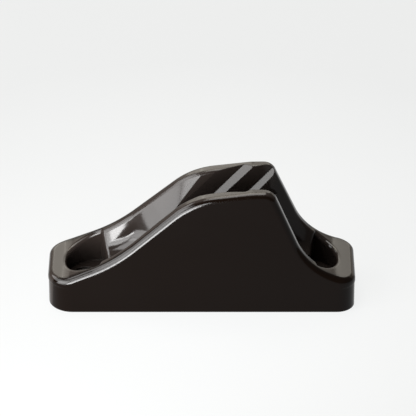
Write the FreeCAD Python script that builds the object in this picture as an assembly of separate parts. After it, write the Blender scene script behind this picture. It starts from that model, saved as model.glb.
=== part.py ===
"""Jam cleat for 3 to 6 mm rope: one moulded nylon body and its two countersunk fixing screws.

Millimetres. X runs along the rope, with the load end at -X. Z is up from the deck.
The origin is on the deck face, midway between the two fixing screws.
"""

import FreeCAD
import Part
import math
import os

# Body
LENGTH = 66.0
BASE_WIDTH = 18.8
SIDE_DRAFT = 4.3            # degrees each side
CORNER_RADII = (5.2, 3.8)   # in plan, at the load end and at the tail end
PARTING_HEIGHT = 5.6        # the two halves of the mould meet here
PARTING_STEP = 0.12         # the skirt below is shorter by this at each end
BLANK_HEIGHT = 32.0         # of the tapered blank that the outline is cut from
OUTER_EDGE_RADIUS = 1.3

# Side outline of the rim: (x, z, radius of the round at that corner)
RIM_OUTLINE = (
    (-29.3, 7.3, 6.0),      # load-end flange starts to climb
    (-18.8, 11.8, 34.0),    # and steepens into the long slope
    (-2.2, 26.5, 16.0),     # shoulder of the ridge
    (10.5, 28.15, 12.0),
    (15.1, 28.2, 2.7),      # crest of the steep tail-end slope
    (23.5, 8.6, 14.5),      # which runs out on the tail-end flange
)
FLANGE_HEIGHTS = (7.3, 7.1) # of the rim at the load end and the tail end

# Rope groove
RIM_THICKNESS = 2.7
JAM_END = 8.5               # up to here the groove keeps one V section
JAM_BOTTOM = 10.0           # height of the bottom of the V
JAM_RADIUS = 1.0            # round at the bottom of the V
MOUTH_BOTTOM = 5.2          # height of the bottom where the groove runs into a well
MOUTH_RADIUS = 5.0          # round at the bottom there
ENTRY_SLOPES = (0.13, 0.66) # of the entry's bottom, at the well and past its curve
ENTRY_CURVE = 7.8           # length of that curve along X
ENTRY_ROUND = (-15.0, -6.0) # between these X its round bottom narrows
ENTRY_RADIUS = 0.6          # to this
ENTRY_FADE = (-4.0, 4.0)    # between these X the flared entry runs out against the V
ENTRY_CLOSE = 0.6           # by closing in this much at the lip
FLARE_OVERLAP = 0.4         # of a flare into its well
MOUTH_EDGE = 1.1            # round where a flare drops into its well
RIM_EDGE = 0.8              # round along the inside of the rim
GROOVE_OVERSHOOT = 3.0      # how far the groove tools stand above the rim
SECTION_STEP = 1.2          # between the cross sections of a flare

# Wells for the screw heads
WELL_HALF_WIDTH = 6.6
WELL_FLOOR = 3.0
WELL_OUTER = 3.9            # from the end of the body to the well
LOAD_WELL_INNER = -21.8     # where the inner end of the well meets its sides
TAIL_WELL_INNER = 24.7
WELL_BOW = 1.4              # the inner ends bow towards the groove by this

# Jamming teeth
TOOTH_PITCH = 6.85          # along X
TOOTH_LEAD = 4.8            # crest to valley, along X
TOOTH_DEPTH = 1.0
TOOTH_SLANT = 45.0          # degrees, down towards the load end
FIRST_CREST = 3.2           # X of the first crest at the height of TEETH_TOP
TEETH_TOP = 27.0
TOOTH_COUNT = 4
TEETH_CLEARANCE = 0.6       # from the bottom of the V up to the teeth
NOTCH_REACH = 2 * BASE_WIDTH    # of a notch each way along its tooth, past the body

# Cores in the underside, two rows of pockets with ribs between
CORE_START = -12.0
CORE_END = 15.0
CORE_COUNT = 4              # in each row
CORE_RIB = 1.6
CORE_OUTLINE = ((0.8, 0.0), (7.2, 0.0), (6.4, 13.0), (5.0, 13.0), (3.9, 9.0), (0.8, 7.4))   # (y, z)

# Fixing screws
HOLE_SPACING = 50.0
HOLE_DIAMETER = 3.8
HEAD_POCKET_DIAMETER = 7.4
SCREW_DIAMETER = 3.5        # over the thread
SHANK_DIAMETER = 3.0        # of the plain shank inside the body
THREAD_START = -0.3         # height of the top of the thread
HEAD_DIAMETER = 6.9
SCREW_LENGTH = 16.0
HEAD_SETBACK = 0.4          # of the head's top below the floor of the well
SEAT_CLEARANCE = 0.02
TIP_RADIUS = 0.3
RECESS_LENGTH = 3.6         # of the cross recess for the driver
RECESS_WIDTH = 0.8
RECESS_DEPTH = 1.5

# For telling edges apart
TOLERANCE = 0.02            # an edge nearer than this lies in the plane or on the outline
SHORT_EDGE = 0.5            # edges and gaps smaller than this don't count
SIDE_LIFT = 0.2             # upward turn below this belongs to a side face
WALL_LIFT = 0.7             # and below this to a wall of the groove or of a well


def width_at(z):
    """Width of the drafted body at height z."""
    return BASE_WIDTH - 2 * z * math.tan(math.radians(SIDE_DRAFT))


def smooth(t):
    """0 to 1 with no slope at either end."""
    t = min(max(t, 0.0), 1.0)
    return t * t * (3 - 2 * t)


def rounded_path(corners):
    """Edges through a run of (x, z, radius) corners, with an arc in place of each corner but the two ends."""
    points = [FreeCAD.Vector(x, 0, z) for x, z, radius in corners]
    edges = []
    start = points[0]
    for i in range(1, len(points) - 1):
        back = (points[i - 1] - points[i]).normalize()
        ahead = (points[i + 1] - points[i]).normalize()
        half_angle = back.getAngle(ahead) / 2
        radius = corners[i][2]
        cut = radius / math.tan(half_angle)
        enter = points[i] + back * cut
        leave = points[i] + ahead * cut
        bisector = (back + ahead).normalize()
        middle = points[i] + bisector * (radius / math.sin(half_angle) - radius)
        edges.append(Part.LineSegment(start, enter).toShape())
        edges.append(Part.Arc(enter, middle, leave).toShape())
        start = leave
    edges.append(Part.LineSegment(start, points[-1]).toShape())
    return edges


def rim_edges():
    """The side outline of the rim, a little longer than the body."""
    reach = LENGTH / 2 + 1
    first = (-reach, FLANGE_HEIGHTS[0], 0)
    last = (reach, FLANGE_HEIGHTS[1], 0)
    return rounded_path((first,) + RIM_OUTLINE + (last,))


def rim_height(x, wire):
    """Height of the rim at x."""
    probe = Part.LineSegment(FreeCAD.Vector(x, 0, 0), FreeCAD.Vector(x, 0, BLANK_HEIGHT)).toShape()
    return wire.distToShape(probe)[1][0][0].z


def drafted_block(length, low, high):
    """Block between two heights with drafted long sides and rounded upright corners."""
    x = length / 2
    near = width_at(low) / 2
    near_top = width_at(high) / 2
    end = Part.makePolygon([FreeCAD.Vector(-x, -near, low), FreeCAD.Vector(-x, near, low),
                            FreeCAD.Vector(-x, near_top, high), FreeCAD.Vector(-x, -near_top, high),
                            FreeCAD.Vector(-x, -near, low)])
    block = Part.Face(end).extrude(FreeCAD.Vector(length, 0, 0))
    upright = [e for e in block.Edges if e.BoundBox.ZLength > TOLERANCE]
    load_end = [e for e in upright if e.BoundBox.XMax < TOLERANCE - x]
    block = block.makeFillet(CORNER_RADII[0], load_end)
    upright = [e for e in block.Edges if e.BoundBox.ZLength > TOLERANCE]
    tail_end = [e for e in upright if e.BoundBox.XMin > x - TOLERANCE]
    return block.makeFillet(CORNER_RADII[1], tail_end)


def below_rim(rim, floor):
    """Everything between a flat floor and the rim outline."""
    start = rim.Vertexes[0].Point
    end = rim.Vertexes[-1].Point
    under = Part.makePolygon([end, FreeCAD.Vector(end.x, 0, floor),
                              FreeCAD.Vector(start.x, 0, floor), start])
    face = Part.Face(Part.Wire(rim.Edges + under.Edges))
    face.translate(FreeCAD.Vector(0, -BASE_WIDTH, 0))
    return face.extrude(FreeCAD.Vector(0, 2 * BASE_WIDTH, 0))


def upward_lift(face, edge):
    """How far a face turns upward at the middle of one of its edges, from 0 to 1."""
    point = edge.valueAt((edge.FirstParameter + edge.LastParameter) / 2)
    return abs(face.normalAt(*face.Surface.parameter(point)).z)


def rim_corners(block):
    """Edges where the rim of a block meets its sides."""
    found = []
    for edge in block.Edges:
        lifts = [upward_lift(f, edge) for f in block.ancestorsOfType(edge, Part.Face)]
        if edge.BoundBox.ZMin > PARTING_HEIGHT + SHORT_EDGE and min(lifts) < SIDE_LIFT < max(lifts):
            found.append(edge)
    return found


def outer_body(rim):
    """The moulding before its groove, wells and holes."""
    upper = drafted_block(LENGTH, PARTING_HEIGHT, BLANK_HEIGHT).common(below_rim(rim, PARTING_HEIGHT))
    upper = upper.makeFillet(OUTER_EDGE_RADIUS, rim_corners(upper))
    skirt = drafted_block(LENGTH - 2 * PARTING_STEP, 0, PARTING_HEIGHT)
    return upper.fuse(skirt).removeSplitter()


def groove_section(x, bottom, radius, thickness, rim):
    """Closed wire across the rope groove: a round bottom with straight walls up past the rim."""
    height = rim_height(x, rim)
    lip = width_at(height) / 2 - thickness
    centre = bottom + radius
    rise = height - centre
    slant = math.atan2(lip, rise) - math.asin(radius / math.hypot(lip, rise))
    tangent = FreeCAD.Vector(x, radius * math.cos(slant), centre - radius * math.sin(slant))
    top = FreeCAD.Vector(x, lip + GROOVE_OVERSHOOT * math.tan(slant), height + GROOVE_OVERSHOOT)
    left_tangent = FreeCAD.Vector(x, -tangent.y, tangent.z)
    left_top = FreeCAD.Vector(x, -top.y, top.z)
    arc = Part.Arc(tangent, FreeCAD.Vector(x, 0, bottom), left_tangent).toShape()
    return Part.Wire([arc, Part.makeLine(left_tangent, left_top), Part.makeLine(left_top, top),
                      Part.makeLine(top, tangent)])


def stations(first, last):
    """Evenly spaced X values for the cross sections of a flare."""
    count = round((last - first) / SECTION_STEP)
    return [first + (last - first) * i / count for i in range(count + 1)]


def entry_section(x, rim):
    """The load-end flare: its bottom curves up from the well, then climbs straight into the V."""
    run = max(x - LOAD_WELL_INNER, 0.0)
    curved = min(run, ENTRY_CURVE)
    bend = (ENTRY_SLOPES[1] - ENTRY_SLOPES[0]) / (2 * ENTRY_CURVE)
    bottom = MOUTH_BOTTOM + ENTRY_SLOPES[0] * curved + bend * curved ** 2
    bottom += ENTRY_SLOPES[1] * (run - curved)
    narrowing = smooth((x - ENTRY_ROUND[0]) / (ENTRY_ROUND[1] - ENTRY_ROUND[0]))
    radius = MOUTH_RADIUS + narrowing * (ENTRY_RADIUS - MOUTH_RADIUS)
    fade = smooth((x - ENTRY_FADE[0]) / (ENTRY_FADE[1] - ENTRY_FADE[0]))
    return groove_section(x, bottom, radius, RIM_THICKNESS + fade * ENTRY_CLOSE, rim)


def exit_section(x, rim):
    """The tail-end flare: the V opens into a round trough that drops to the well."""
    flare = smooth((x - JAM_END) / (TAIL_WELL_INNER - JAM_END))
    bottom = JAM_BOTTOM + flare * (MOUTH_BOTTOM - JAM_BOTTOM)
    radius = JAM_RADIUS + flare * (MOUTH_RADIUS - JAM_RADIUS)
    return groove_section(x, bottom, radius, RIM_THICKNESS, rim)


def groove_tools(rim):
    """The rope groove as solids to cut away: the flared entry, the V and the flared exit."""
    entry = [entry_section(x, rim) for x in stations(LOAD_WELL_INNER - FLARE_OVERLAP, ENTRY_FADE[1])]
    jam = Part.Face(exit_section(JAM_END, rim))
    leave = [exit_section(x, rim) for x in stations(JAM_END, TAIL_WELL_INNER + FLARE_OVERLAP)]
    start = LOAD_WELL_INNER + ENTRY_CURVE
    return [Part.makeLoft(entry, True, False),
            jam.extrude(FreeCAD.Vector(start - JAM_END, 0, 0)),
            Part.makeLoft(leave, True, False)]


def bow_radius():
    """Radius of the bowed inner end of a well."""
    return (WELL_HALF_WIDTH ** 2 + WELL_BOW ** 2) / (2 * WELL_BOW)


def well_tool(outer, inner):
    """A well with a round outer end and a bowed inner end."""
    direction = math.copysign(1, inner - outer)
    round_end = FreeCAD.Vector(outer + direction * WELL_HALF_WIDTH, 0, WELL_FLOOR)
    bowed_end = FreeCAD.Vector(inner + direction * (WELL_BOW - bow_radius()), 0, WELL_FLOOR)
    well = Part.makeCylinder(WELL_HALF_WIDTH, BLANK_HEIGHT, round_end)
    return well.common(Part.makeCylinder(bow_radius(), BLANK_HEIGHT, bowed_end))


def mouth_edges(tool, rim):
    """Edges where the groove's flares meet the bowed ends of the wells."""
    found = []
    for edge in tool.Edges:
        faces = [f.Surface for f in tool.ancestorsOfType(edge, Part.Face)]
        bowed = [f for f in faces if isinstance(f, Part.Cylinder) and abs(f.Radius - bow_radius()) < TOLERANCE]
        box = edge.BoundBox
        at_mouth = WELL_FLOOR + SHORT_EDGE < box.ZMin < rim_height(box.Center.x, rim)
        if len(bowed) == 1 and at_mouth and box.YLength > SHORT_EDGE:
            found.append(edge)
    return found


def cavity(rim):
    """The groove and both wells as one solid to cut away, rounded where they meet."""
    wells = [well_tool(-LENGTH / 2 + WELL_OUTER, LOAD_WELL_INNER),
             well_tool(LENGTH / 2 - WELL_OUTER, TAIL_WELL_INNER)]
    tools = groove_tools(rim) + wells
    whole = tools[0].multiFuse(tools[1:])
    return whole.makeFillet(MOUTH_EDGE, mouth_edges(whole, rim))


def inner_rim_edges(body, rim):
    """Edges on the rim outline that run round the opening of the groove and wells."""
    found = []
    for edge in body.Edges:
        span = edge.LastParameter - edge.FirstParameter
        points = [edge.valueAt(edge.FirstParameter + span * i / 4) for i in range(5)]
        on_rim = all(abs(p.z - rim_height(p.x, rim)) < TOLERANCE for p in points)
        inside = all(abs(p.y) < width_at(p.z) / 2 - OUTER_EDGE_RADIUS - SHORT_EDGE for p in points)
        short = all(abs(p.x) < LENGTH / 2 - OUTER_EDGE_RADIUS - SHORT_EDGE for p in points)
        lifts = [upward_lift(f, edge) for f in body.ancestorsOfType(edge, Part.Face)]
        if on_rim and inside and short and min(lifts) < WALL_LIFT:
            found.append(edge)
    return found


def jam_wall(rim):
    """The bottom and the top of one wall of the V section."""
    wall = exit_section(JAM_END, rim).Edges[1]
    low = wall.Vertexes[0].Point
    high = wall.Vertexes[1].Point
    return low, high


def teeth_tool(rim):
    """The slanted notches in both walls of the V, as a solid to cut away."""
    low, high = jam_wall(rim)
    up_wall = FreeCAD.Vector(0, abs(high.y) - abs(low.y), high.z - low.z).normalize()
    outward = FreeCAD.Vector(0, up_wall.z, -up_wall.y)
    slant = math.radians(TOOTH_SLANT)
    along = (up_wall * math.sin(slant) + FreeCAD.Vector(math.cos(slant), 0, 0)).normalize()
    across = along.cross(outward).normalize()
    if across.x < 0:
        across = -across
    lift = (TEETH_TOP - low.z) / up_wall.z
    start = FreeCAD.Vector(FIRST_CREST, abs(low.y), low.z) + up_wall * lift
    pitch = TOOTH_PITCH * math.sin(slant)
    lead = TOOTH_LEAD * math.sin(slant)
    notches = []
    for i in range(TOOTH_COUNT):
        crest = start + across * (i * pitch)
        outline = [crest - outward * TOOTH_DEPTH, crest,
                   crest + across * lead + outward * TOOTH_DEPTH,
                   crest + across * pitch,
                   crest + across * pitch - outward * TOOTH_DEPTH]
        outline = [p - along * NOTCH_REACH for p in outline]
        face = Part.Face(Part.makePolygon(outline + outline[:1]))
        notches.append(face.extrude(along * 2 * NOTCH_REACH))
    reach = FreeCAD.Vector(LENGTH, 0, 0)
    foot = JAM_BOTTOM + TEETH_CLEARANCE
    spread = abs(low.y) + (foot - low.z) * up_wall.y / up_wall.z
    top_y = spread + (BLANK_HEIGHT - foot) * up_wall.y / up_wall.z
    zone = Part.makePolygon([FreeCAD.Vector(-LENGTH / 2, 0, foot),
                             FreeCAD.Vector(-LENGTH / 2, spread + TOOTH_DEPTH, foot),
                             FreeCAD.Vector(-LENGTH / 2, top_y + 2 * TOOTH_DEPTH, BLANK_HEIGHT),
                             FreeCAD.Vector(-LENGTH / 2, 0, BLANK_HEIGHT),
                             FreeCAD.Vector(-LENGTH / 2, 0, foot)])
    zone = Part.Face(zone).extrude(reach)
    wall = notches[0].multiFuse(notches[1:]).common(zone)
    other = wall.mirror(FreeCAD.Vector(0, 0, 0), FreeCAD.Vector(0, 1, 0))
    return [wall, other]


def underside_cores():
    """The pockets moulded up into the underside, as solids to cut away."""
    length = (CORE_END - CORE_START - (CORE_COUNT - 1) * CORE_RIB) / CORE_COUNT
    points = [FreeCAD.Vector(0, y, z) for y, z in CORE_OUTLINE]
    core = Part.Face(Part.makePolygon(points + points[:1])).extrude(FreeCAD.Vector(length, 0, 0))
    cores = []
    for i in range(CORE_COUNT):
        near = core.copy()
        near.translate(FreeCAD.Vector(CORE_START + i * (length + CORE_RIB), 0, 0))
        cores.append(near)
        cores.append(near.mirror(FreeCAD.Vector(0, 0, 0), FreeCAD.Vector(0, 1, 0)))
    return cores


def screw_places():
    """X of each fixing screw, by the name of its end."""
    return {"load": -HOLE_SPACING / 2, "tail": HOLE_SPACING / 2}


def screw_hole(x):
    """Clearance for one screw: pocket, countersink and through hole."""
    at = FreeCAD.Vector(x, 0, 0)
    hole = Part.makeCylinder(HOLE_DIAMETER / 2, BLANK_HEIGHT, at)
    depth = (HEAD_DIAMETER - HOLE_DIAMETER) / 2
    sink = Part.makeCone(HOLE_DIAMETER / 2, HEAD_DIAMETER / 2, depth,
                         FreeCAD.Vector(x, 0, WELL_FLOOR - HEAD_SETBACK - depth))
    pocket = Part.makeCylinder(HEAD_POCKET_DIAMETER / 2, BLANK_HEIGHT,
                               FreeCAD.Vector(x, 0, WELL_FLOOR - HEAD_SETBACK))
    return hole.fuse(sink).fuse(pocket)


def fixing_screw(x):
    """Countersunk screw with a cross recess, its head down in the well and its thread below the deck."""
    head_top = WELL_FLOOR - HEAD_SETBACK
    head_radius = HEAD_DIAMETER / 2 - SEAT_CLEARANCE
    tip = head_top - SCREW_LENGTH
    outline = [FreeCAD.Vector(0, 0, head_top),
               FreeCAD.Vector(head_radius, 0, head_top),
               FreeCAD.Vector(SHANK_DIAMETER / 2, 0, head_top - head_radius + SHANK_DIAMETER / 2),
               FreeCAD.Vector(SHANK_DIAMETER / 2, 0, THREAD_START),
               FreeCAD.Vector(SCREW_DIAMETER / 2, 0, THREAD_START),
               FreeCAD.Vector(SCREW_DIAMETER / 2, 0, tip + SCREW_DIAMETER),
               FreeCAD.Vector(TIP_RADIUS, 0, tip),
               FreeCAD.Vector(0, 0, tip)]
    face = Part.Face(Part.makePolygon(outline + outline[:1]))
    screw = face.revolve(FreeCAD.Vector(0, 0, 0), FreeCAD.Vector(0, 0, 1), 360)
    recess = Part.makeBox(RECESS_LENGTH, RECESS_WIDTH, RECESS_DEPTH)
    recess.translate(FreeCAD.Vector(-RECESS_LENGTH / 2, -RECESS_WIDTH / 2, head_top - RECESS_DEPTH))
    crossed = recess.copy()
    crossed.rotate(FreeCAD.Vector(0, 0, 0), FreeCAD.Vector(0, 0, 1), 90)
    screw = screw.cut(recess.fuse(crossed))
    screw.translate(FreeCAD.Vector(x, 0, 0))
    return screw


def cleat_body():
    """The whole moulding."""
    rim = Part.Wire(rim_edges())
    body = outer_body(rim).cut(cavity(rim))
    body = body.makeFillet(RIM_EDGE, inner_rim_edges(body, rim))
    body = body.cut(teeth_tool(rim))
    body = body.cut(underside_cores())
    return body.cut([screw_hole(x) for x in screw_places().values()])


if __name__ == "__main__":
    os.makedirs("parts", exist_ok=True)
    body = cleat_body()
    print(body.isValid(), len(body.Solids), body.Volume)
    body.exportStep("parts/cleat_body.step")
    for end, x in screw_places().items():
        screw = fixing_screw(x)
        print(end, screw.isValid(), screw.Volume, screw.common(body).Volume)
        screw.exportStep(f"parts/fixing_screw_{end}_end.step")
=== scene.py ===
import math

import bmesh
import bpy
from mathutils import Matrix, Vector


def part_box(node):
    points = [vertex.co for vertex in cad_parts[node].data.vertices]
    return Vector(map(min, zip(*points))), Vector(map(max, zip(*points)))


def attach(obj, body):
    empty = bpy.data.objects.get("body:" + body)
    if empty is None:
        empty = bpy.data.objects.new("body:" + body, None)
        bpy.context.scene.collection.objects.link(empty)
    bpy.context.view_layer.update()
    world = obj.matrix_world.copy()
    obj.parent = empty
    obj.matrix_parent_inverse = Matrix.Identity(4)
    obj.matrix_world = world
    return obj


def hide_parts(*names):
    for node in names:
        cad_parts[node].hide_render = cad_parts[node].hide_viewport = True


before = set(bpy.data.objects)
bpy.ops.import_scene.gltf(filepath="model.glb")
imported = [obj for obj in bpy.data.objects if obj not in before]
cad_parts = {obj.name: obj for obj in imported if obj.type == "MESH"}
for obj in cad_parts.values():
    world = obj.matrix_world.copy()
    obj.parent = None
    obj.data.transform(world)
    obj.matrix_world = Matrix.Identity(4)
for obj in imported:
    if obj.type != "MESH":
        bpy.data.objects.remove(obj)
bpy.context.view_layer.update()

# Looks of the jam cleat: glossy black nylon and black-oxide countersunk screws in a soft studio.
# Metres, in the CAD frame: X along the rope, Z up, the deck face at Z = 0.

MM = 0.001

# Camera
CAMERA_ELEVATION = 32.0             # degrees, looking along +Y
CAMERA_DISTANCE = 0.7
CAMERA_TARGET = (1.38 * MM, 3.79 * MM, 18.07 * MM)
CAMERA_SENSOR = 36.0                # mm
CAMERA_LENS = 281.7                 # mm
CAMERA_CLIP = 10 * MM

# Stage
FLOOR_SIZE = 3.0
FLOOR_DROP = 0.05 * MM              # below the deck face, so that the two don't coincide
FLOOR_COLOR = (0.93, 0.94, 0.94)
FLOOR_GLOW = (0.90, 0.80)           # its own light under the cleat and far out, which keeps shadows faint
FLOOR_FADE = (0.02, 0.10)           # between these distances from the middle
FLOOR_SHADE = 0.025                 # and this part takes the shadow
SURROUNDINGS = (0.34, 0.30, 0.27)   # dim warm room

# Light colours
WHITE = (1.0, 1.0, 1.0)
SOFT_WHITE = (1.0, 0.98, 0.94)
CREAM = (1.0, 0.96, 0.86)
STRAW = (1.0, 0.95, 0.84)
AMBER = (1.0, 0.94, 0.80)

# Soft boxes: name, azimuth and elevation of the middle seen from the cleat in degrees,
# distance, width and height in metres, radiance, colour
SOFT_BOXES = (
    ("low_front_key", -157, 0.5, 0.123, 0.070, 0.030, 80.0, WHITE),
    ("low_left_key", -123, 0.5, 0.123, 0.070, 0.030, 21.0, WHITE),
    ("middle_front_key", -157, 12.5, 0.123, 0.070, 0.022, 30.0, WHITE),
    ("middle_left_key", -123, 12.5, 0.123, 0.070, 0.022, 23.0, WHITE),
    ("upper_front_key", -157, 21.5, 0.130, 0.070, 0.018, 34.0, WHITE),
    ("upper_left_key", -123, 21.5, 0.130, 0.070, 0.018, 15.0, WHITE),
    ("left_high", -120, 34, 0.30, 0.16, 0.12, 20.0, WHITE),
    ("left_strip", -80, 38, 0.60, 0.50, 0.30, 12.0, WHITE),
    ("overhead", -60, 84, 0.90, 0.60, 0.40, 16.0, SOFT_WHITE),
    ("high_back", -10, 60, 0.95, 0.50, 0.34, 13.0, AMBER),
    ("side_back_dim", -28.1, 28, 0.350, 0.022, 0.14, 2.5, CREAM),
    ("side_back_middle", -24.5, 28, 0.350, 0.022, 0.14, 3.2, CREAM),
    ("side_back_bright", -20.6, 28, 0.350, 0.026, 0.14, 4.1, CREAM),
    ("left_back", -10.0, 33, 0.345, 0.100, 0.18, 5.0, CREAM),
    ("right_back", 15.5, 33, 0.345, 0.155, 0.18, 3.6, CREAM),
    ("warm_back", 8, 12, 1.20, 1.90, 0.50, 0.9, STRAW),
)
SOFT_BOX_AIM = 14 * MM              # height that they all face

# Body material
NYLON_COLOR = (0.0008, 0.0003, 0.0001, 1.0)
NYLON_PAINTED_FILL_COLOR = (0.0062, 0.0048, 0.0042, 1.0)   # painted fill light: a lighter base colour in the groove and the wells, where the lamps give too little light
PAINTED_FILL_HALF_WIDTH = (6.7 * MM, 7.1 * MM)             # the painted fill light covers the groove and the wells, up to here
NYLON_SPECULAR = 0.12
NYLON_ROUGHNESS = (0.10, 0.16)      # over the troughs and crests of the flow waves
WAVE_SCALE = 90                     # flow waves, in features a metre
WAVE_STRETCH = (0.4, 1.0, 1.0)
WAVE_RANGE = (0.3, 0.7)             # noise values of the troughs and crests
WAVE_BUMP = (0.06, 0.4 * MM)        # strength and height
MOULD_SCALE = 5200                  # fine mould texture
MOULD_RANGE = (0.4, 0.8)
MOULD_BUMP = (0.03, 0.01 * MM)
RUB_SCALE = 420                     # rubbed patches, drawn out along the rope
RUB_STRETCH = (0.25, 1.0, 1.0)
RUB_RANGE = (0.60, 0.72)            # noise values where rubbing begins and is full
RUB_ROUGHNESS = 0.08                # added where it is full
EDGE_ROUND = 0.25 * MM              # on the tooth crests and other edges left sharp in the mesh
EDGE_SAMPLES = 6

# Screw material
STEEL_DARK = (0.006, 0.006, 0.007, 1.0)
STEEL_RUBBED = (0.024, 0.022, 0.021, 1.0)
STEEL_METALLIC = 0.9
STEEL_ROUGHNESS = (0.28, 0.46)
STEEL_GRAIN_SCALE = 3500
STEEL_GRAIN_RANGE = (0.3, 0.7)
STEEL_PATCH_SCALE = 900
STEEL_PATCH_RANGE = (0.45, 0.7)
STEEL_BUMP = (0.15, 0.02 * MM)

# Screws
THREAD_PITCH = 1.35 * MM
THREAD_DEPTH = 0.5 * MM
THREAD_OUTER = 1.74 * MM            # radius over the thread
THREAD_TOP = -0.3 * MM              # height of the top of the thread
THREAD_SHARPNESS = 3.4              # a ridge is 2 / this of the pitch wide at its foot
THREAD_TIP_GAIN = 1.6               # towards the tip the ridge shrinks later than the core by this
THREAD_RINGS = 14                   # rings of faces for each turn
TIP_RADIUS = 0.02 * MM
TIP_LENGTH = 2 * THREAD_OUTER       # of the tapered end
SHANK_RADIUS = 1.45 * MM
SHANK_END = 0.25 * MM               # above the top of the thread
HEAD_RIM = 0.25 * MM                # height of the straight rim round the head
HEAD_ROUND = 0.12 * MM
HEAD_ROUND_STEPS = 4
AROUND = 64                         # faces round a screw
SCREW_SHARP_ANGLE = 38              # degrees between faces that meet in a sharp edge

# Cross recess for the driver
RECESS_DEPTH = 0.42                 # of the head's radius, as are the next two
RECESS_LENGTH = 1.06
RECESS_WIDTH = 0.25
RECESS_TAPER = 0.55                 # of its length left at the bottom
RECESS_LIFT = 0.3 * MM              # how far its cutter stands above the head


def add_node(tree, kind, settings=None, links=None):
    """A shader node with its inputs set by name, and fed from other nodes' outputs."""
    node = tree.nodes.new(kind)
    for name, value in (settings or {}).items():
        if name in node.inputs:
            node.inputs[name].default_value = value
        else:
            setattr(node, name, value)
    for name, source in (links or {}).items():
        tree.links.new(source, node.inputs[name])
    return node


def span(tree, source, results, values=(0.0, 1.0)):
    """Maps a range of values to a range of results, and holds the ends."""
    node = add_node(tree, "ShaderNodeMapRange",
                    {"From Min": values[0], "From Max": values[1],
                     "To Min": results[0], "To Max": results[1]},
                    {"Value": source})
    return node.outputs["Result"]


def noise(tree, scale, detail, roughness=0.5, stretch=(1.0, 1.0, 1.0)):
    """Noise in object space, scale in features a metre, drawn out along an axis where stretch is small."""
    place = add_node(tree, "ShaderNodeTexCoord")
    mapped = add_node(tree, "ShaderNodeMapping", {"Scale": stretch}, {"Vector": place.outputs["Object"]})
    node = add_node(tree, "ShaderNodeTexNoise",
                    {"Scale": scale, "Detail": detail, "Roughness": roughness},
                    {"Vector": mapped.outputs["Vector"]})
    return node.outputs["Fac"]


def combine(tree, operation, first, second):
    """The sum or the product of two values."""
    node = add_node(tree, "ShaderNodeMath", {"operation": operation})
    tree.links.new(first, node.inputs[0])
    tree.links.new(second, node.inputs[1])
    return node.outputs[0]


def mix_colors(tree, first, second, share):
    """A colour between two, by the share of the second."""
    mix = add_node(tree, "ShaderNodeMix", {"data_type": "RGBA"})
    mix.inputs[6].default_value = first         # the node's two colour inputs
    mix.inputs[7].default_value = second
    tree.links.new(share, mix.inputs["Factor"])
    return mix.outputs[2]


def bump(tree, height, strength_and_distance, normal=None):
    """A bumped normal, over another normal if there is one."""
    strength, distance = strength_and_distance
    links = {"Height": height}
    if normal is not None:
        links["Normal"] = normal
    node = add_node(tree, "ShaderNodeBump", {"Strength": strength, "Distance": distance}, links)
    return node.outputs["Normal"]


def painted_fill_share(tree):
    """Share of the painted fill light: 1 in the groove and the wells, 0 on the outside, by the distance
    from the middle plane.
    """
    place = add_node(tree, "ShaderNodeTexCoord")
    axes = add_node(tree, "ShaderNodeSeparateXYZ", links={"Vector": place.outputs["Object"]})
    aside = add_node(tree, "ShaderNodeMath", {"operation": "ABSOLUTE"})
    tree.links.new(axes.outputs["Y"], aside.inputs[0])
    return span(tree, aside.outputs[0], (1.0, 0.0), PAINTED_FILL_HALF_WIDTH)


def new_material(name):
    """A node material and its Principled shader."""
    material = bpy.data.materials.new(name)
    material.use_nodes = True
    return material, material.node_tree, material.node_tree.nodes["Principled BSDF"]


def nylon_material():
    """Glossy black moulded nylon: slight flow waves, a fine mould texture, a few rubbed patches, and a
    painted fill light, a lighter base colour in the groove and the wells.
    """
    material, tree, shader = new_material("black_nylon")
    waves = noise(tree, WAVE_SCALE, detail=2, stretch=WAVE_STRETCH)
    mould = noise(tree, MOULD_SCALE, detail=3)
    rubs = noise(tree, RUB_SCALE, detail=6, roughness=0.7, stretch=RUB_STRETCH)
    gloss = span(tree, waves, NYLON_ROUGHNESS, WAVE_RANGE)
    rubbed = span(tree, rubs, (0.0, 1.0), RUB_RANGE)
    worn = combine(tree, "MULTIPLY", rubbed, span(tree, mould, (0.0, RUB_ROUGHNESS), MOULD_RANGE))
    tree.links.new(combine(tree, "ADD", gloss, worn), shader.inputs["Roughness"])
    # painted fill light: the base colour turns lighter in the groove and the wells
    color = mix_colors(tree, NYLON_COLOR, NYLON_PAINTED_FILL_COLOR, painted_fill_share(tree))
    tree.links.new(color, shader.inputs["Base Color"])
    shader.inputs["Specular IOR Level"].default_value = NYLON_SPECULAR
    edges = add_node(tree, "ShaderNodeBevel", {"samples": EDGE_SAMPLES, "Radius": EDGE_ROUND})
    wavy = bump(tree, waves, WAVE_BUMP, edges.outputs["Normal"])
    tree.links.new(bump(tree, mould, MOULD_BUMP, wavy), shader.inputs["Normal"])
    return material


def steel_material():
    """Black-oxide steel with a fine grain, a little brighter in rubbed patches."""
    material, tree, shader = new_material("black_screw_steel")
    grain = noise(tree, STEEL_GRAIN_SCALE, detail=4, roughness=0.6)
    patches = noise(tree, STEEL_PATCH_SCALE, detail=3)
    color = mix_colors(tree, STEEL_DARK, STEEL_RUBBED, span(tree, patches, (0.0, 1.0), STEEL_PATCH_RANGE))
    tree.links.new(color, shader.inputs["Base Color"])
    shader.inputs["Metallic"].default_value = STEEL_METALLIC
    tree.links.new(span(tree, grain, STEEL_ROUGHNESS, STEEL_GRAIN_RANGE), shader.inputs["Roughness"])
    tree.links.new(bump(tree, grain, STEEL_BUMP), shader.inputs["Normal"])
    return material


def from_direction(azimuth, elevation):
    """Unit vector towards an azimuth (0 behind the cleat, 90 to its right) and an elevation, in degrees."""
    a = math.radians(azimuth)
    e = math.radians(elevation)
    return Vector((math.sin(a) * math.cos(e), math.cos(a) * math.cos(e), math.sin(e)))


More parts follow.
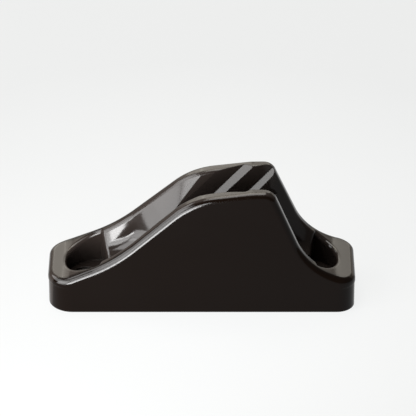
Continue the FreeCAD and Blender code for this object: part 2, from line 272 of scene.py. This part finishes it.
def add_camera():
    """The camera, in front of the cleat and above it."""
    data = bpy.data.cameras.new("camera")
    data.sensor_width = CAMERA_SENSOR
    data.lens = CAMERA_LENS
    data.clip_start = CAMERA_CLIP
    camera = bpy.data.objects.new("camera", data)
    bpy.context.scene.collection.objects.link(camera)
    back = from_direction(180, CAMERA_ELEVATION)
    camera.location = Vector(CAMERA_TARGET) + back * CAMERA_DISTANCE
    camera.rotation_mode = "QUATERNION"
    camera.rotation_quaternion = (-back).to_track_quat("-Z", "Y")
    bpy.context.scene.camera = camera


def add_soft_box(name, azimuth, elevation, distance, width, height, radiance, color):
    """A rectangular area light that faces the middle of the cleat and isn't seen itself."""
    light = bpy.data.lights.new(name, "AREA")
    light.shape = "RECTANGLE"
    light.size = width
    light.size_y = height
    light.energy = radiance * math.pi * width * height
    light.color = color
    box = bpy.data.objects.new(name, light)
    bpy.context.scene.collection.objects.link(box)
    towards = from_direction(azimuth, elevation)
    box.location = Vector((0, 0, SOFT_BOX_AIM)) + towards * distance
    box.rotation_mode = "QUATERNION"
    box.rotation_quaternion = (-towards).to_track_quat("-Z", "Y")
    box.visible_camera = False


def floor_material():
    """Pale paper that glows most under the cleat."""
    material, tree, shader = new_material("floor_paper")
    shader.inputs["Base Color"].default_value = [FLOOR_SHADE * c for c in FLOOR_COLOR] + [1.0]
    shader.inputs["Roughness"].default_value = 1.0
    shader.inputs["Specular IOR Level"].default_value = 0.0
    shader.inputs["Emission Color"].default_value = list(FLOOR_COLOR) + [1.0]
    place = add_node(tree, "ShaderNodeTexCoord")
    reach = add_node(tree, "ShaderNodeVectorMath", {"operation": "LENGTH"})
    tree.links.new(place.outputs["Object"], reach.inputs[0])
    glow = span(tree, reach.outputs["Value"], FLOOR_GLOW, FLOOR_FADE)
    tree.links.new(glow, shader.inputs["Emission Strength"])
    return material


def add_stage():
    """Pale floor and dim surroundings."""
    mesh = bpy.data.meshes.new("floor")
    half = FLOOR_SIZE / 2
    outline = ((-half, -half), (half, -half), (half, half), (-half, half))
    corners = [(x, y, -FLOOR_DROP) for x, y in outline]
    mesh.from_pydata(corners, [], [(0, 1, 2, 3)])
    mesh.materials.append(floor_material())
    floor = bpy.data.objects.new("floor", mesh)
    bpy.context.scene.collection.objects.link(floor)
    world = bpy.data.worlds.new("room")
    bpy.context.scene.world = world
    world.use_nodes = True
    world.node_tree.nodes["Background"].inputs["Color"].default_value = list(SURROUNDINGS) + [1.0]


def lathe(profile, name):
    """A closed mesh round Z. profile is (radius as a function of angle, height) from top to bottom."""
    shape = bmesh.new()
    rings = []
    for radius, height in profile:
        ring = []
        for i in range(AROUND):
            angle = 2 * math.pi * i / AROUND
            r = radius(angle)
            ring.append(shape.verts.new((r * math.cos(angle), r * math.sin(angle), height)))
        rings.append(ring)
    for upper, lower in zip(rings, rings[1:]):
        for i in range(AROUND):
            j = (i + 1) % AROUND
            shape.faces.new((lower[i], lower[j], upper[j], upper[i]))
    shape.faces.new(rings[0])
    shape.faces.new(rings[-1][::-1])
    mesh = bpy.data.meshes.new(name)
    shape.to_mesh(mesh)
    shape.free()
    return mesh


def plain_radius(radius):
    """The same radius at every angle."""
    return lambda angle: radius


def thread_radius(height, tip):
    """Radius of the thread as a function of angle at one height."""
    taper = min(max((height - tip) / TIP_LENGTH, 0.0), 1.0)
    runout = min(max((THREAD_TOP - height) / THREAD_PITCH, 0.0), 1.0)
    core = (THREAD_OUTER - THREAD_DEPTH) * taper
    depth = THREAD_DEPTH * min(taper * THREAD_TIP_GAIN, 1.0) * runout

    def radius(angle):
        phase = (height / THREAD_PITCH - angle / (2 * math.pi)) % 1.0
        ridge = max(0.0, 1.0 - abs(phase - 0.5) * THREAD_SHARPNESS)
        return max(core + depth * ridge, TIP_RADIUS)

    return radius


def screw_profile(top, tip, head_radius):
    """Rings of the screw from the head's top down to the tip."""
    rings = []
    for i in range(HEAD_ROUND_STEPS + 1):
        turn = math.radians(90 * i / HEAD_ROUND_STEPS)
        rings.append((plain_radius(head_radius - HEAD_ROUND * (1 - math.sin(turn))),
                      top - HEAD_ROUND * (1 - math.cos(turn))))
    rings.append((plain_radius(head_radius), top - HEAD_RIM))
    rings.append((plain_radius(SHANK_RADIUS), top - HEAD_RIM - (head_radius - SHANK_RADIUS)))
    rings.append((plain_radius(SHANK_RADIUS), THREAD_TOP + SHANK_END))
    steps = round((THREAD_TOP - tip) / THREAD_PITCH * THREAD_RINGS)
    for i in range(steps + 1):
        height = THREAD_TOP + (tip - THREAD_TOP) * i / steps
        rings.append((thread_radius(height, tip), height))
    return rings


def recess_cutter(top, head_radius):
    """A tapered cross for the driver, whose arms narrow half as much as they shorten."""
    shape = bmesh.new()
    levels = ((top + RECESS_LIFT, 1.0), (top - RECESS_DEPTH * head_radius, RECESS_TAPER))
    for turn in (0, 90):
        spin = Matrix.Rotation(math.radians(turn), 4, "Z")
        corners = []
        for z, share in levels:
            x = RECESS_LENGTH * head_radius / 2 * share
            y = RECESS_WIDTH * head_radius / 2 * (1 + share) / 2
            corners += [spin @ Vector(p) for p in ((-x, -y, z), (x, -y, z), (x, y, z), (-x, y, z))]
        v = [shape.verts.new(p) for p in corners]
        for face in ((0, 1, 2, 3), (7, 6, 5, 4), (0, 4, 5, 1), (1, 5, 6, 2), (2, 6, 7, 3), (3, 7, 4, 0)):
            shape.faces.new([v[k] for k in face])
    bmesh.ops.recalc_face_normals(shape, faces=shape.faces)
    mesh = bpy.data.meshes.new("recess_cutter")
    shape.to_mesh(mesh)
    shape.free()
    return mesh


def cut_away(piece, cutter_mesh):
    """Cuts a shape out of a piece for good."""
    cutter = bpy.data.objects.new("cutter", cutter_mesh)
    bpy.context.scene.collection.objects.link(cutter)
    cut = piece.modifiers.new("recess", "BOOLEAN")
    cut.object = cutter
    cut.operation = "DIFFERENCE"
    cut.use_self = True                 # the two arms of the cross run through each other
    bpy.context.view_layer.update()
    depsgraph = bpy.context.evaluated_depsgraph_get()
    whole = bpy.data.meshes.new_from_object(piece.evaluated_get(depsgraph))
    piece.modifiers.clear()
    piece.data = whole
    bpy.data.objects.remove(cutter)


def add_screw(node, material):
    """A detailed screw in the place of a CAD one, inside its box."""
    low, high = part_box(node)
    head_radius = (high.x - low.x) / 2
    centre = Vector(((low.x + high.x) / 2, (low.y + high.y) / 2, 0))
    name = node + "_threaded"
    screw = bpy.data.objects.new(name, lathe(screw_profile(high.z, low.z, head_radius), name))
    bpy.context.scene.collection.objects.link(screw)
    cut_away(screw, recess_cutter(high.z, head_radius))
    screw.data.transform(Matrix.Translation(centre))
    screw.data.materials.clear()
    screw.data.materials.append(material)
    screw.data.shade_smooth()
    screw.data.set_sharp_from_angle(angle=math.radians(SCREW_SHARP_ANGLE))
    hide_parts(node)
    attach(screw, "root")


def dress_body(material):
    """Gives the CAD body its material."""
    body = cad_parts["cleat_body"]
    body.data.materials.clear()
    body.data.materials.append(material)


bpy.context.scene.view_settings.view_transform = "Standard"
add_camera()
add_stage()
for soft_box in SOFT_BOXES:
    add_soft_box(*soft_box)
dress_body(nylon_material())
steel = steel_material()
for screw_node in ("fixing_screw_load_end", "fixing_screw_tail_end"):
    add_screw(screw_node, steel)
